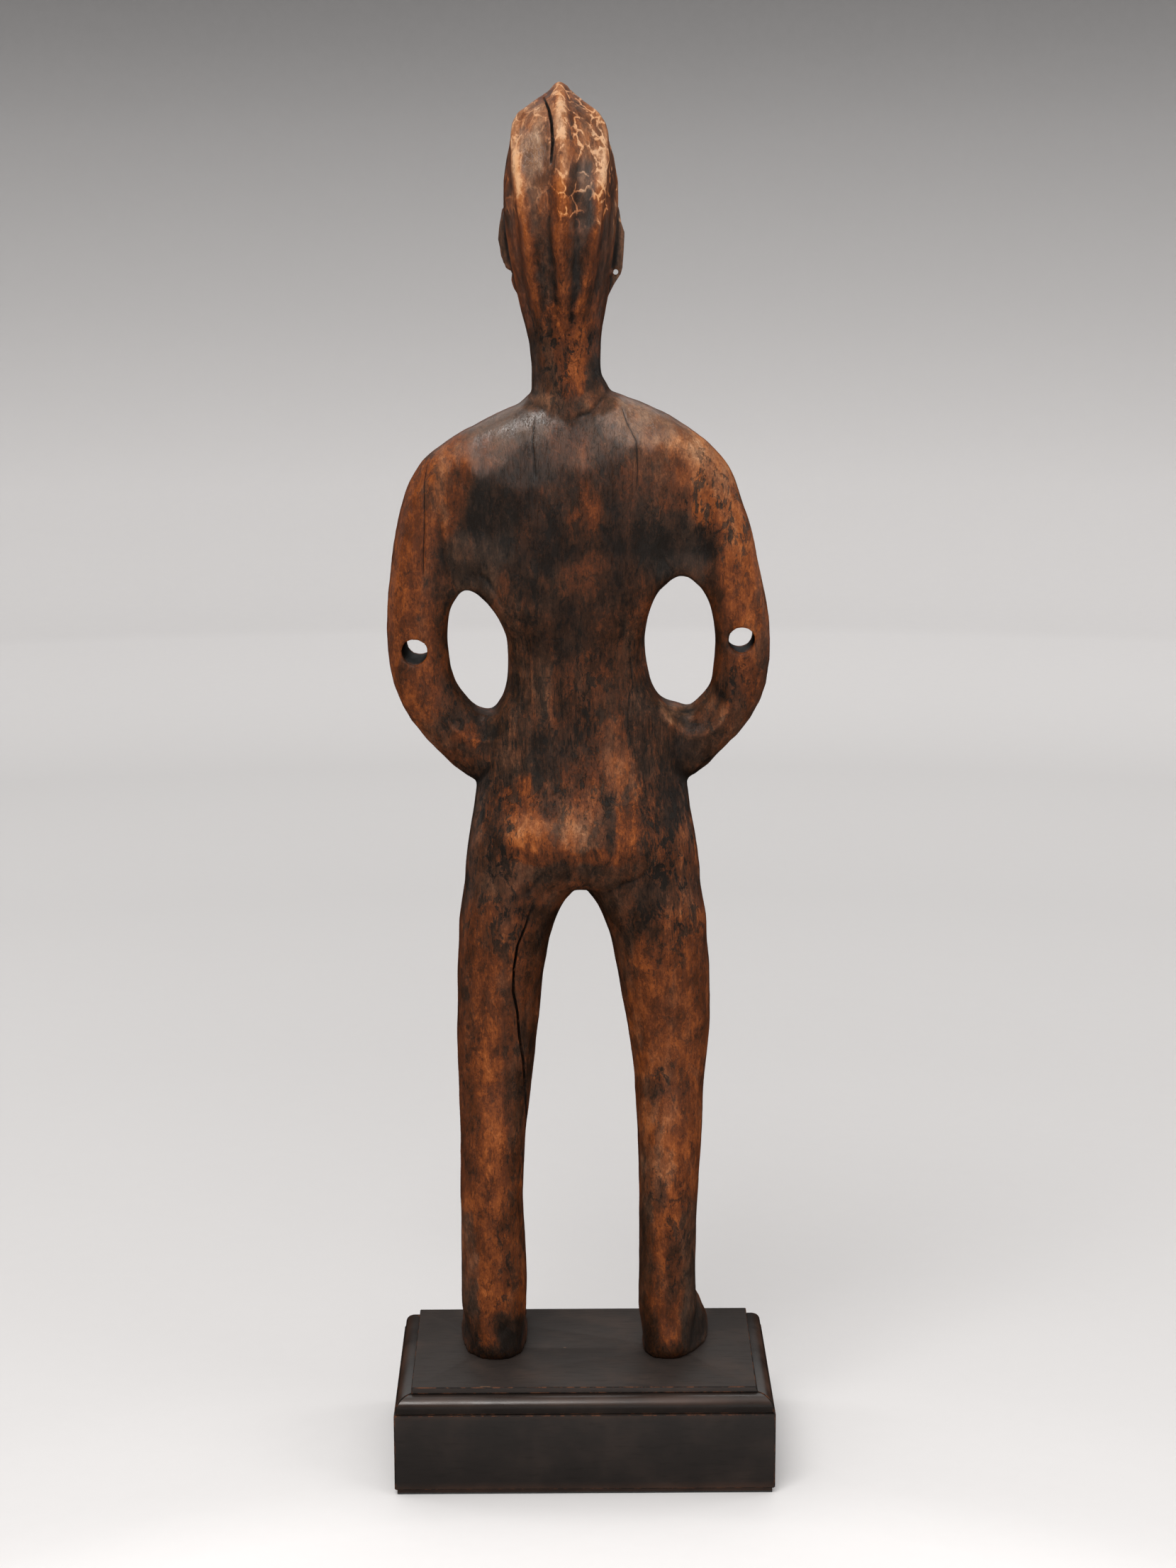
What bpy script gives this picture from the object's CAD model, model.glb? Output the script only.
import math

import bmesh
import bpy
import numpy as np
from mathutils import Matrix, Vector


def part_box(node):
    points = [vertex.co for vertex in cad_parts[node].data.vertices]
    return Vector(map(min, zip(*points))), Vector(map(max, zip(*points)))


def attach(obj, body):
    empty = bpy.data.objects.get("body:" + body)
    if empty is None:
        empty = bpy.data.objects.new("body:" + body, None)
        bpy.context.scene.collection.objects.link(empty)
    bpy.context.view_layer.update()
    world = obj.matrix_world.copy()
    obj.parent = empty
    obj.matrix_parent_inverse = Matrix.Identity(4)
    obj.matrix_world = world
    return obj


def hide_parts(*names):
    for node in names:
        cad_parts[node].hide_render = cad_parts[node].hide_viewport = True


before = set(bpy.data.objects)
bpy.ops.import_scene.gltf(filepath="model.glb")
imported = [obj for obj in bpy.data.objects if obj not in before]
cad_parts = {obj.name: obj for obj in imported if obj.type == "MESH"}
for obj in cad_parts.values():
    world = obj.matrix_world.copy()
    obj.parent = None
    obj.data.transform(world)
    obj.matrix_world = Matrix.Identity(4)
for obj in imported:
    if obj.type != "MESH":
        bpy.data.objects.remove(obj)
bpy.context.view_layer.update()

# The carved figure stands on its plinth with its back to the camera. It faces -Y, so its left side is +X.
# Places on the carving are in millimetres in the figure's own frame: z = 0 is the sole.
MM = 0.001
SOLE = np.array([0, 0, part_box("carved_figure")[0].z])

# ---------------------------------------------------------------- camera, floor and light

FLOOR_RADIUS = 3.4
SWEEP_RADIUS = 0.9
WALL_TOP = 2.6
CAMERA_PLACE = (0.0123, 1.9212, 0.8577)
CAMERA_PITCH = 12.098
CAMERA_YAW = -0.473
CAMERA_ROLL = -0.133
LENS = 71.6
SENSOR_WIDTH = 36
VIEW_END = 30


def add_camera():
    pitch, yaw, roll = (math.radians(a) for a in (CAMERA_PITCH, CAMERA_YAW, CAMERA_ROLL))
    forward = Vector((math.sin(yaw) * math.cos(pitch), -math.cos(yaw) * math.cos(pitch), -math.sin(pitch)))
    right = forward.cross(Vector((0, 0, 1))).normalized()
    up = right.cross(forward)
    rolled_right = right * math.cos(roll) + up * math.sin(roll)
    rolled_up = up * math.cos(roll) - right * math.sin(roll)
    camera = bpy.data.objects.new("camera", bpy.data.cameras.new("camera"))
    bpy.context.scene.collection.objects.link(camera)
    camera.data.sensor_width = SENSOR_WIDTH
    camera.data.lens = LENS
    camera.data.clip_end = VIEW_END
    turn = Matrix((rolled_right, rolled_up, -forward)).transposed().to_4x4()
    camera.matrix_world = Matrix.Translation(CAMERA_PLACE) @ turn
    bpy.context.scene.camera = camera


# name: place, width, height, power in watts, colour; these lamps look at the middle of the figure.
LAMPS = {
    "key": ((0.6, 1.45, 2.55), 1.3, 0.9, 34, (1.0, 0.985, 0.96)),
    "fill_back": ((-0.3, 2.9, 1.3), 1.8, 1.4, 14, (1.0, 0.985, 0.965)),
    "fill_right": ((-2.1, 1.5, 1.3), 1.2, 1.6, 10, (1.0, 0.985, 0.97)),
    "rim_left": ((2.1, -0.7, 1.1), 0.7, 2.0, 9, (1.0, 0.985, 0.97)),
    "rim_right": ((-2.1, -0.7, 1.1), 0.7, 2.0, 9, (1.0, 0.985, 0.97)),
    "front": ((0.2, -2.0, 2.2), 3.2, 2.0, 16, (1.0, 0.99, 0.97)),
    "overhead": ((0.0, 0.1, 3.0), 2.0, 2.0, 11, (1.0, 0.99, 0.97)),
    "low_fill": ((0.0, 2.4, 0.5), 2.4, 0.5, 4.5, (1.0, 0.99, 0.98)),
}
# Lamps round the figure that wash the wall.
WALL_WASHES = 4
WASH_TURN = math.radians(-20)
WASH_RADIUS = 1.7
WASH_HEIGHT = 2.5  # of the lamps
WASH_AIM = 0.35  # height they look at
WASH_POWER = 53
WASH_WIDTH = 2.2
WASH_TALL = 0.5
WASH_COLOUR = (1.0, 0.985, 0.965)
LAMP_TARGET = Vector((0, 0, 0.45))
WORLD_LIGHT = 0.32
WORLD_COLOUR = (1.0, 0.98, 0.96, 1)


def add_lamp(name, place, aim, width, height, power, colour):
    data = bpy.data.lights.new(name, "AREA")
    data.shape = "RECTANGLE"
    data.size = width
    data.size_y = height
    data.energy = power
    data.color = colour
    lamp = bpy.data.objects.new(name, data)
    bpy.context.scene.collection.objects.link(lamp)
    lamp.location = place
    lamp.rotation_euler = (Vector(aim) - Vector(place)).to_track_quat("-Z", "Y").to_euler()
    lamp.visible_camera = False


def add_lamps():
    for name, (place, width, height, power, colour) in LAMPS.items():
        add_lamp(name, place, LAMP_TARGET, width, height, power, colour)
    for i in range(WALL_WASHES):
        angle = 2 * math.pi * i / WALL_WASHES + WASH_TURN
        way = Vector((math.sin(angle), -math.cos(angle), 0))
        place = way * WASH_RADIUS + Vector((0, 0, WASH_HEIGHT))
        aim = way * (FLOOR_RADIUS + SWEEP_RADIUS) + Vector((0, 0, WASH_AIM))
        add_lamp(f"wall_wash_{i}", place, aim, WASH_WIDTH, WASH_TALL, WASH_POWER, WASH_COLOUR)
    world = bpy.data.worlds.new("studio")
    world.use_nodes = True
    background = world.node_tree.nodes["Background"]
    background.inputs["Color"].default_value = WORLD_COLOUR
    background.inputs["Strength"].default_value = WORLD_LIGHT
    world.cycles_visibility.glossy = False
    bpy.context.scene.world = world
    bpy.context.scene.view_settings.view_transform = "Standard"


# ---------------------------------------------------------------- shader helper


class Value:
    """A shader node's output, which adds, subtracts and multiplies like a number."""

    def __init__(self, shader, socket):
        self.shader = shader
        self.socket = socket

    def __add__(self, other):
        return self.shader.math("ADD", self, other)

    def __sub__(self, other):
        return self.shader.math("SUBTRACT", self, other)

    def __mul__(self, other):
        return self.shader.math("MULTIPLY", self, other)

    def most(self, other):
        return self.shader.math("MAXIMUM", self, other)

    def span(self, low, high, to_low=0.0, to_high=1.0):
        """A smooth step from to_low, where this is low, to to_high, where it is high."""
        inputs = {"Value": self, "From Min": low, "From Max": high, "To Min": to_low, "To Max": to_high}
        return self.shader.node("ShaderNodeMapRange", inputs, "Result", interpolation_type="SMOOTHSTEP")

    def output(self, name):
        """Another output of the same node."""
        return Value(self.shader, self.socket.node.outputs[name])


class Shader:
    """Adds nodes to one material. Every input is a Value or a constant."""

    def __init__(self, name):
        self.material = bpy.data.materials.new(name)
        self.material.use_nodes = True
        self.nodes = self.material.node_tree.nodes
        self.surface = self.nodes["Principled BSDF"]

    def put(self, socket, value):
        if isinstance(value, Value):
            self.material.node_tree.links.new(value.socket, socket)
        else:
            socket.default_value = value

    def node(self, kind, inputs, output, **settings):
        """Adds a node and gives one of its outputs. Sockets are found by name or by number."""
        made = self.nodes.new(kind)
        for name, value in settings.items():
            setattr(made, name, value)
        for socket, value in inputs.items():
            self.put(made.inputs[socket], value)
        return Value(self, made.outputs[output])

    def math(self, operation, first, second=0.0):
        return self.node("ShaderNodeMath", {0: first, 1: second}, 0, operation=operation)

    def vector_math(self, operation, inputs, output="Vector"):
        return self.node("ShaderNodeVectorMath", inputs, output, operation=operation)

    def point(self):
        return self.node("ShaderNodeTexCoord", {}, "Object")

    def place(self, stretch=(1, 1, 1), turn=(0, 0, 0)):
        """The point on the object, turned and then scaled on each axis."""
        inputs = {"Vector": self.point(), "Scale": tuple(1 / part for part in stretch), "Rotation": turn}
        return self.node("ShaderNodeMapping", inputs, "Vector", vector_type="TEXTURE")

    def height(self):
        return self.node("ShaderNodeSeparateXYZ", {"Vector": self.point()}, "Z")

    def distance_to(self, start, end):
        """How far the point on the object is from the line between two places."""
        line = end - start
        from_start = self.vector_math("SUBTRACT", {0: self.point(), 1: tuple(start)})
        per_length = tuple(line / line.length_squared)
        along = self.vector_math("DOT_PRODUCT", {0: from_start, 1: per_length}, "Value")
        share = self.node("ShaderNodeClamp", {"Value": along}, "Result")
        foot = self.vector_math("SCALE", {0: tuple(line), "Scale": share})
        return self.vector_math("DISTANCE", {0: from_start, 1: foot}, "Value")

    def warped(self, vector, scale, amount):
        """The vector moved about by noise."""
        noise = self.node("ShaderNodeTexNoise", {"Vector": vector, "Scale": scale, "Detail": 3}, "Color")
        return self.vector_math("MULTIPLY_ADD", {0: noise, 1: (amount, amount, amount), 2: vector})

    def noise(self, scale, detail=4, roughness=0.55, distortion=0.0, stretch=(1, 1, 1), turn=(0, 0, 0)):
        inputs = {"Vector": self.place(stretch, turn), "Scale": scale, "Detail": detail,
                  "Roughness": roughness, "Distortion": distortion}
        return self.node("ShaderNodeTexNoise", inputs, "Fac")

    def cells(self, vector, scale, output="Distance", feature="F1"):
        return self.node("ShaderNodeTexVoronoi", {"Vector": vector, "Scale": scale}, output, feature=feature)

    def mix(self, share, first, second):
        return self.node("ShaderNodeMix", {"Factor": share, 6: first, 7: second}, 2, data_type="RGBA")

    def ramp(self, value, stops):
        colour = self.node("ShaderNodeValToRGB", {"Fac": value}, "Color")
        elements = colour.socket.node.color_ramp.elements
        while len(elements) < len(stops):
            elements.new(0.5)
        for element, (position, stop_colour) in zip(elements, stops):
            element.position = position
            element.color = (*stop_colour, 1)
        return colour

    def attribute(self, name):
        """A point attribute's red, green, blue and alpha."""
        colour = self.node("ShaderNodeAttribute", {}, "Color", attribute_name=name)
        red = self.node("ShaderNodeSeparateColor", {"Color": colour}, "Red")
        return red, red.output("Green"), red.output("Blue"), colour.output("Alpha")

    def bump(self, height, strength, distance):
        inputs = {"Height": height, "Strength": strength, "Distance": distance}
        return self.node("ShaderNodeBump", inputs, "Normal")

    def finish(self, **inputs):
        for name, value in inputs.items():
            self.put(self.surface.inputs[name.replace("_", " ")], value)
        return self.material


def rgb(red, green, blue):
    return (red, green, blue, 1)


# ---------------------------------------------------------------- materials

DUSTY_WOOD = [
    (0.0, (0.012, 0.008, 0.0055)),
    (0.22, (0.036, 0.0195, 0.0115)),
    (0.42, (0.082, 0.040, 0.0215)),
    (0.6, (0.17, 0.080, 0.042)),
    (0.8, (0.36, 0.190, 0.101)),
    (1.0, (0.66, 0.415, 0.255)),
]
OILED_WOOD = [
    (0.0, (0.010, 0.0048, 0.0024)),
    (0.22, (0.038, 0.0132, 0.0045)),
    (0.42, (0.104, 0.0250, 0.0052)),
    (0.6, (0.22, 0.053, 0.008)),
    (0.8, (0.41, 0.124, 0.027)),
    (1.0, (0.66, 0.310, 0.120)),
]
GREY_FILM = rgb(0.130, 0.090, 0.066)
CRACK_DARK = rgb(0.005, 0.003, 0.002)
SCALES_PER_METRE = 122


def carved_wood():
    """Old dense wood: a dark patina worn through in crisp patches, red-brown and tan where rubbed."""
    wood = Shader("carved_wood")
    tone, red, sheen, grainy = wood.attribute("patina")
    crack, edge, hollow, spotted = wood.attribute("marks")
    cloud = wood.noise(30, 3, 0.55, stretch=(1, 1, 0.6))
    blotch = wood.noise(85, 7, 0.68, stretch=(1, 1, 0.6))
    patch = wood.noise(120, 9, 0.74, 0.5, stretch=(1, 1, 0.5))
    spot = wood.noise(330, 6, 0.7, 0.3, stretch=(1, 1, 0.42))
    speck = wood.noise(760, 4, 0.7, stretch=(1, 1, 0.7))
    stroke = wood.noise(520, 5, 0.68, stretch=(1, 1, 0.13), turn=(0, 0.04, 0))
    rub = wood.noise(240, 7, 0.72, 0.4, stretch=(1, 1, 0.5))
    streak = wood.noise(430, 5, 0.6, 0.3, stretch=(1, 1, 0.07))
    broad_streak = wood.noise(130, 3, 0.5, 0.3, stretch=(1, 1, 0.07))
    pores = wood.noise(1500, 3, 0.6, stretch=(1, 1, 0.09))

    streaks = streak.span(0.36, 0.64, -0.05, 0.05) + broad_streak.span(0.38, 0.62, -0.035, 0.035)
    dark_patches = patch.span(0.535, 0.56) * spotted.span(0, 1, 0.07, 0.36)
    dark_spots = spot.span(0.575, 0.6) * spotted.span(0, 1, 0.07, 0.26)
    dark_strokes = stroke.span(0.58, 0.61) * grainy.span(0.35, 1, 0.0, 0.26)
    dark_marks = dark_patches.most(dark_spots).most(dark_strokes)
    light_strokes = stroke.span(0.43, 0.4) * grainy.span(0.35, 1, 0.0, 0.14)

    scale_place = wood.warped(wood.place(stretch=(1, 1, 0.72)), 130, 0.009)
    scale_edges = wood.cells(scale_place, SCALES_PER_METRE, feature="DISTANCE_TO_EDGE")
    scale_tones = wood.cells(scale_place, SCALES_PER_METRE, "Color")
    scale_lines = scale_edges.span(0.03, 0.1, 0.42, 0.0) * blotch.span(0.43, 0.55)
    on_hair = grainy.span(0.12, 0.42, 1.0, 0.0) * edge.span(0.1, 0.5, 1.0, 0.35)

    hatching = wood.noise(1000, 3, 0.6, stretch=(1, 1, 0.045), turn=(0, 0.95, 0)).span(0.58, 0.64)
    cross_hatching = wood.noise(620, 3, 0.6, stretch=(1, 1, 0.04), turn=(0, 0.5, 0)).span(0.61, 0.65)
    scratch_zone = wood.noise(42, 3).span(0.42, 0.58)
    satin = sheen.span(0.35, 0.8)
    scratches = hatching.most(cross_hatching) * scratch_zone * satin.span(0, 1, 0.25, 1.0)

    value = tone + cloud.span(0.36, 0.64, -0.04, 0.04)
    value += blotch.span(0.38, 0.62, -0.075, 0.075)
    value += rub.span(0.5, 0.54, -0.03, 0.05)
    value += speck.span(0.4, 0.6, -0.04, 0.04)
    value += edge * 0.3
    value += streaks * grainy.span(0.35, 1, 0.2, 1.0)
    value += light_strokes - dark_marks
    value -= hollow * 0.3
    value -= pores.span(0.58, 0.7) * 0.07
    value += (scale_lines + scale_tones.span(0.2, 0.8, -0.09, 0.06)) * on_hair
    value += scratches * 0.085

    hue_noise = wood.noise(95, 4, 0.6, stretch=(1, 1, 0.4))
    hue = red + (hue_noise - 0.5) * 0.9 - dark_marks * 1.2
    colour = wood.mix(hue.span(0.0, 0.7), wood.ramp(value, DUSTY_WOOD), wood.ramp(value, OILED_WOOD))
    colour = wood.mix(sheen.span(0.3, 1) * blotch.span(0.35, 0.6, 0.08, 0.34), colour, GREY_FILM)
    colour = wood.mix(crack.span(0.25, 0.8), colour, CRACK_DARK)

    roughness = sheen.span(0, 1, 0.47, 0.3) + (blotch - 0.5) * 0.3 + hollow * 0.22 + scratches * 0.12
    relief = (streak - 0.5) * grainy.span(0.3, 1, 0.15, 0.9) - pores.span(0.55, 0.7) * 0.3
    relief += rub * 0.6 - dark_marks * 1.6 - scratches * 0.25
    return wood.finish(Base_Color=colour, Roughness=roughness, Normal=wood.bump(relief, 0.6, 0.0007),
                       Specular_IOR_Level=sheen.span(0.15, 1, 0.2, 0.95))


STAIN_BLACK = (0.021, 0.0165, 0.0145)
STAIN_BROWN = (0.034, 0.0235, 0.019)
STAIN_PORE = rgb(0.011, 0.008, 0.007)
STAIN_WORN = rgb(0.115, 0.043, 0.020)
STAIN_THIN = rgb(0.115, 0.048, 0.024)
SCRATCHED = rgb(0.36, 0.19, 0.10)


def ebonised_wood(name, stain, worn, shine, smooth, brown_at=(), scratches=(), polished_above=None):
    """Black-stained wood under wax.

    stain scales the stain's colours, so that more is paler. worn is how much red-brown wood shows, 0 to 1.
    brown_at lists (height, reach, strength) bands where the stain is rubbed thin, and scratches lists lines
    as (start, end, width). polished_above is the height above which the wax shines, if not all over.
    """
    wood = Shader(name)
    cloud = wood.noise(26, 4, 0.6)
    grain = wood.noise(700, 5, 0.6, stretch=(0.09, 0.6, 0.6))
    rub = wood.noise(170, 5, 0.7)
    height = wood.height()
    black, brown = (rgb(*(part * stain for part in tint)) for tint in (STAIN_BLACK, STAIN_BROWN))
    colour = wood.mix(cloud.span(0.4, 0.75), black, brown)
    colour = wood.mix(grain.span(0.5, 0.75, 0.0, 0.4), colour, STAIN_PORE)
    threshold = 0.78 - 0.36 * worn
    colour = wood.mix(rub.span(threshold, threshold + 0.13, 0.0, 0.85), colour, STAIN_WORN)
    for middle, reach, strength in brown_at:
        away = wood.math("ABSOLUTE", height - middle)
        band = away.span(0.0, reach, strength, 0.0) * cloud.span(0.3, 0.6, 0.4, 1.0)
        colour = wood.mix(band, colour, STAIN_THIN)
    for start, end, width in scratches:
        cut = wood.distance_to(start, end).span(0.3 * width, width, 1.0, 0.0)
        colour = wood.mix(cut * rub.span(0.3, 0.5, 0.5, 1.0), colour, SCRATCHED)
    scuff_place = wood.place(stretch=(0.25, 1, 1), turn=(0.1, 0.2, 0.7))
    scuff = wood.cells(scuff_place, 120, feature="DISTANCE_TO_EDGE").span(0.0, 0.02, 1.0, 0.0)
    scuffs = scuff * wood.noise(40, 2).span(0.6, 0.7)
    roughness = cloud.span(0.3, 0.7, smooth, smooth + 0.1) + grain.span(0.4, 0.7, 0.0, 0.06) + scuffs * 0.1
    if polished_above is not None:
        shine = height.span(polished_above - 1.5 * MM, polished_above + 1.5 * MM, 0.12, shine)
    return wood.finish(Base_Color=colour, Roughness=roughness, Specular_IOR_Level=shine,
                       Normal=wood.bump(grain + rub * 0.5, 0.14, 0.0004))


def bare_wood():
    """Unfinished softwood for the parts inside the plinth."""
    wood = Shader("bare_wood")
    rings = wood.noise(260, 5, 0.6, 0.5, stretch=(0.08, 1, 1))
    fibre = wood.noise(1600, 3, stretch=(0.08, 1, 1))
    colour = wood.mix(rings.span(0.35, 0.65), rgb(0.42, 0.27, 0.14), rgb(0.58, 0.40, 0.22))
    colour = wood.mix(fibre.span(0.55, 0.75, 0.0, 0.35), colour, rgb(0.28, 0.16, 0.08))
    return wood.finish(Base_Color=colour, Roughness=rings.span(0.3, 0.7, 0.6, 0.74),
                       Normal=wood.bump(rings + fibre, 0.25, 0.0003))


def felt():
    """Black-green felt: short matted fibres."""
    cloth = Shader("felt")
    fibres = cloth.noise(2600, 4, 0.7, 1.5, stretch=(1, 1, 0.3))
    matting = cloth.noise(190, 3)
    colour = cloth.mix(fibres.span(0.35, 0.7), rgb(0.012, 0.014, 0.013), rgb(0.034, 0.038, 0.035))
    colour = cloth.mix(matting.span(0.4, 0.65, 0.0, 0.4), colour, rgb(0.009, 0.010, 0.010))
    return cloth.finish(Base_Color=colour, Roughness=matting.span(0.3, 0.7, 0.9, 0.98), Sheen_Weight=0.4,
                        Normal=cloth.bump(fibres, 0.6, 0.0004))


def metal(name, dark, light, smooth):
    """Turned metal with tool lines, smears and slight tarnish."""
    finish = Shader(name)
    lines = finish.noise(500, 3, stretch=(0.4, 0.4, 12))
    smear = finish.noise(330, 4, 0.6)
    return finish.finish(Base_Color=finish.mix(smear.span(0.35, 0.68), rgb(*dark), rgb(*light)),
                         Roughness=smear.span(0.3, 0.7, smooth, smooth + 0.2), Metallic=1.0,
                         Normal=finish.bump(lines + smear, 0.2, 0.0002))


# Greys of the paper at distances, in metres, from a place on the floor between the figure and the camera.
# Height on the wall counts double.
PAPER_CENTRE_Y = 0.6
PAPER_GREYS = [
    (0.40, 0.87), (0.50, 0.86), (0.57, 0.765), (0.75, 0.68), (1.0, 0.625), (1.5, 0.545), (2.1, 0.49),
    (2.8, 0.50), (3.9, 0.745), (4.9, 0.63), (5.3, 0.54), (5.8, 0.435), (6.1, 0.38), (6.5, 0.305),
    (6.9, 0.21), (7.2, 0.155), (9.0, 0.11),
]
PAPER_WARMTH = (1.0, 0.984, 0.988)


def studio_paper():
    """Pale seamless paper that darkens away from the camera and up the wall."""
    paper = Shader("studio_paper")
    height = paper.height()
    across, back = height.output("X"), height.output("Y") - PAPER_CENTRE_Y
    away = paper.math("SQRT", across * across + back * back) + height * 2
    fibre = paper.noise(60, 3)
    farthest = PAPER_GREYS[-1][0]
    stops = [(far / farthest, tuple(grey * part for part in PAPER_WARMTH)) for far, grey in PAPER_GREYS]
    colour = paper.ramp(away * (1 / farthest), stops)
    colour = paper.mix(fibre.span(0.3, 0.7, 0.0, 0.02), colour, rgb(0.5, 0.5, 0.5))
    return paper.finish(Base_Color=colour, Roughness=fibre.span(0.3, 0.7, 0.85, 0.9))


# ---------------------------------------------------------------- mesh helpers


def new_piece(name, mesh):
    piece = bpy.data.objects.new(name, mesh)
    bpy.context.scene.collection.objects.link(piece)
    return piece


def plain_mesh(bm, name):
    """A mesh with the bmesh's vertices and faces and nothing else."""
    bm.verts.index_update()
    mesh = bpy.data.meshes.new(name)
    mesh.from_pydata([v.co[:] for v in bm.verts], [], [[v.index for v in f.verts] for f in bm.faces])
    bm.free()
    return mesh


WELD_DISTANCE = 1e-5
FLAT_ANGLE = math.radians(1)


def cad_bmesh(node):
    """A CAD node's shape with its doubled vertices merged and its flat faces joined again."""
    bm = bmesh.new()
    bm.from_mesh(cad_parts[node].data)
    bmesh.ops.remove_doubles(bm, verts=bm.verts, dist=WELD_DISTANCE)
    bmesh.ops.dissolve_limit(bm, angle_limit=FLAT_ANGLE, verts=bm.verts, edges=bm.edges)
    return bm


def applied(piece):
    """Puts the piece's modifiers into its mesh."""
    graph = bpy.context.evaluated_depsgraph_get()
    mesh = bpy.data.meshes.new_from_object(piece.evaluated_get(graph))
    piece.modifiers.clear()
    piece.data = mesh
    return piece


def numbers_of(collection, field, width, kind=float):
    """One field of a mesh's vertices or edges, as rows of numbers."""
    flat = np.zeros(len(collection) * width, kind)
    collection.foreach_get(field, flat)
    return flat.reshape(-1, width)


def points_of(mesh):
    return numbers_of(mesh.vertices, "co", 3)


def normals_of(mesh):
    return numbers_of(mesh.vertex_normals, "vector", 3)


def edges_of(mesh):
    return numbers_of(mesh.edges, "vertices", 2, int)


def shade_smooth(mesh):
    mesh.polygons.foreach_set("use_smooth", [True] * len(mesh.polygons))


def neighbour_mean(points, edges):
    """For each point, the mean of the points that share an edge with it."""
    count = len(points)
    degree = np.maximum(np.bincount(edges.ravel(), minlength=count), 1)
    total = np.stack([
        np.bincount(edges[:, 0], points[edges[:, 1], axis], count)
        + np.bincount(edges[:, 1], points[edges[:, 0], axis], count)
        for axis in range(points.shape[1])
    ], axis=1)
    return total / degree[:, None]


def smoothed(points, edges, rounds, share=0.5, weight=1.0, keep_size=True):
    """Laplacian smoothing; keep_size pushes back after each round, so that the form doesn't shrink."""
    weight = np.broadcast_to(weight, len(points))[:, None]
    for _ in range(rounds):
        points = points + (neighbour_mean(points, edges) - points) * share * weight
        if keep_size:
            points = points - (neighbour_mean(points, edges) - points) * (share + 0.03) * weight
    return points


# ---------------------------------------------------------------- numbers over a surface


def step(value, low, high):
    """0 below low and 1 above high, with a smooth rise between."""
    t = np.clip((value - low) / (high - low), 0, 1)
    return t * t * (3 - 2 * t)


def fade(value, low, high):
    return 1 - step(value, low, high)


def lattice(cell, seed):
    """A repeatable number from 0 to 1 for each whole-number lattice point."""
    cell = cell.astype(np.uint64)
    mixed = cell[..., 0] * np.uint64(374761393) + cell[..., 1] * np.uint64(668265263)
    mixed += cell[..., 2] * np.uint64(2246822519) + np.uint64(seed * 3266489917)
    mixed = (mixed ^ (mixed >> np.uint64(15))) * np.uint64(2246822519)
    mixed = (mixed ^ (mixed >> np.uint64(13))) * np.uint64(3266489917)
    return ((mixed ^ (mixed >> np.uint64(16))) & np.uint64(0xFFFFFF)).astype(float) / 0xFFFFFF


LATTICE_START = 4096.0  # keeps every lattice number positive
CORNERS = [(i, j, k) for i in (0, 1) for j in (0, 1) for k in (0, 1)]
AROUND = [(i, j, k) for i in (-1, 0, 1) for j in (-1, 0, 1) for k in (-1, 0, 1)]


def soft_noise(points, size, seed):
    """Smooth noise from -1 to 1. size is the lattice spacing, for all axes or for each."""
    q = points / np.asarray(size, float) + LATTICE_START
    cell = np.floor(q)
    t = q - cell
    t = t * t * (3 - 2 * t)
    total = np.zeros(len(points))
    for corner in CORNERS:
        share = np.prod(np.where(np.array(corner) == 1, t, 1 - t), axis=1)
        total += share * lattice(cell + np.array(corner), seed)
    return 2 * total - 1


def tool_cells(points, size, seed):
    """Distances, in cells, to the nearest and second nearest of scattered centres."""
    q = points / np.asarray(size, float) + LATTICE_START
    cell = np.floor(q)
    first = np.full(len(points), 9.0)
    second = np.full(len(points), 9.0)
    for offset in AROUND:
        there = cell + np.array(offset)
        centre = there + np.stack([lattice(there, seed + i) for i in range(3)], axis=1)
        distance = np.linalg.norm(centre - q, axis=1)
        second = np.minimum(second, np.maximum(first, distance))
        first = np.minimum(first, distance)
    return first, second


def line_reach(points, line, half_width, ends=0.12):
    """1 on a line of (x, z) places, 0 at half_width from it, and less towards the line's two ends."""
    flat = points[:, [0, 2]]
    line = np.array(line, float)
    lengths = np.linalg.norm(np.diff(line, axis=0), axis=1)
    starts = np.concatenate([[0], np.cumsum(lengths)])
    best = np.full(len(points), 1e9)
    along = np.zeros(len(points))
    for start, end, length, begun in zip(line[:-1], line[1:], lengths, starts):
        t = np.clip(((flat - start) @ (end - start)) / length**2, 0, 1)
        distance = np.linalg.norm(flat - (start + t[:, None] * (end - start)), axis=1)
        nearer = distance < best
        best = np.where(nearer, distance, best)
        along = np.where(nearer, (begun + t * length) / starts[-1], along)
    taper = np.clip(np.minimum(along, 1 - along) / ends, 0, 1) ** 0.5 if ends else 1.0
    return np.clip(1 - best / half_width, 0, 1) * taper


def dab_reach(points, x, z, wide, high):
    """1 at the middle of a soft oval dab, falling to nothing round it."""
    return np.exp(-(((points[:, 0] - x) / wide) ** 2) - ((points[:, 2] - z) / high) ** 2)


def dabbed(points, dabs):
    """The sum of soft dabs, each given as x, z, half width, half height and amount."""
    return sum(amount * dab_reach(points, x, z, wide, high) for x, z, wide, high, amount in dabs)


def ring_place(points, x, z, wide, high):
    """0 at the middle of an ellipse and 1 on it."""
    return np.hypot((points[:, 0] - x) / wide, (points[:, 2] - z) / high)


def bump_at(value, middle, width):
    return np.exp(-(((value - middle) / width) ** 2))


def off_axis(points, at, way):
    """Each point's place from a bore's axis, square to it, and its place along it."""
    way = np.array(way, float) / np.linalg.norm(way)
    away = points - np.array(at, float)
    along = away @ way
    return away - along[:, None] * way, along


# ---------------------------------------------------------------- what is carved into the figure

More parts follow.
